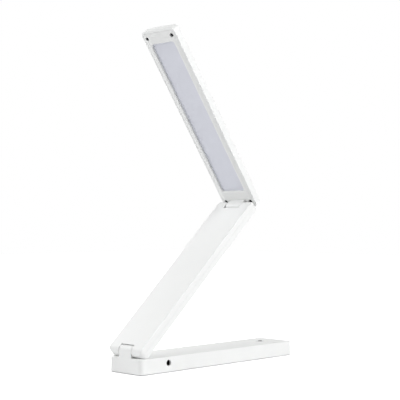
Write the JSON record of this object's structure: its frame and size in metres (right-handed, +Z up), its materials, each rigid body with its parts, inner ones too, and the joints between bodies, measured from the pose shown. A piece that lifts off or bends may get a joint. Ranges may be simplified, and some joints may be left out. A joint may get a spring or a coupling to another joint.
{
  "type": "folding led desk lamp",
  "caption": "Slim white folding desk lamp: flat base, hinged arm and hinged panel head that fold into a flat stack; push button, round power socket and opal light panel.",
  "frame": {"origin": "middle of the base's underside, on the surface that the feet rest on", "axes": "+X from the hinge end of the base to its free end, +Y along the hinge axes away from the side with the power socket, +Z up; stored open, as in use"},
  "size_m": [0.232, 0.048, 0.3512],
  "materials": {
    "white_abs": "white ABS, finely spark-eroded satin",
    "white_abs_frame": "white ABS, satin, a shade greyer than the housings",
    "opal_acrylic": "opal white acrylic sheet, matt on the outside",
    "foot_rubber": "soft grey silicone rubber",
    "black_steel": "black oxide steel screws",
    "zinc_steel": "zinc-plated steel sheet",
    "hinge_steel": "ground steel pin",
    "brass_washer": "plain turned brass",
    "circuit_board": "green solder resist on glass-epoxy",
    "white_board": "white solder resist on an aluminium-backed board",
    "led_package": "yellow phosphor in a white moulded package",
    "black_plastic": "black nylon moulding",
    "nickel_contact": "nickel-plated brass contact",
    "lead_sheath": "black flat two-core lead",
    "button_ring_plastic": "light grey gloss ring",
    "button_plastic": "white satin push button",
    "smoked_lens": "smoked translucent lens"
  },
  "bodies": {
    "base": {"base_shell": "white_abs", "base_plate": "white_abs", "base_feet": "foot_rubber", "base_screws": "black_steel", "ballast_plate": "zinc_steel", "control_board": "circuit_board", "tact_switch": "black_plastic", "dc_socket": "black_plastic", "socket_contact": "nickel_contact", "power_lead": "lead_sheath", "button_ring": "button_ring_plastic", "base_hinge_pin": "hinge_steel", "base_hinge_washers": "brass_washer"},
    "button": {"power_button": "button_plastic", "button_lens": "smoked_lens"},
    "arm": {"arm_upper_shell": "white_abs", "arm_lower_shell": "white_abs", "arm_screws": "black_steel", "arm_bushes": "brass_washer", "arm_stiffener": "zinc_steel", "arm_lead": "lead_sheath"},
    "head": {"head_shell": "white_abs", "head_frame": "white_abs_frame", "diffuser": "opal_acrylic", "led_board": "white_board", "leds": "led_package", "head_lead": "lead_sheath", "head_screws": "black_steel", "knee_hinge_pin": "hinge_steel", "knee_hinge_washers": "brass_washer"}
  },
  "joints": [
    {"name": "base_hinge", "type": "hinge", "parent": "base", "child": "arm", "pos_m": [-0.1101, 0, 0.0224], "axis": [0, -1, 0], "range_deg": [-42.2, 58]},
    {"name": "knee_hinge", "type": "hinge", "parent": "arm", "child": "head", "pos_m": [0.04814, 0, 0.16588], "axis": [0, -1, 0], "range_deg": [0, 96.2]},
    {"name": "button_press", "type": "slide", "parent": "base", "child": "button", "axis": [0, 0, -1], "range_m": [0, 0.0005], "stiffness_N_per_m": 800, "springref_m": -0.0005}
  ]
}
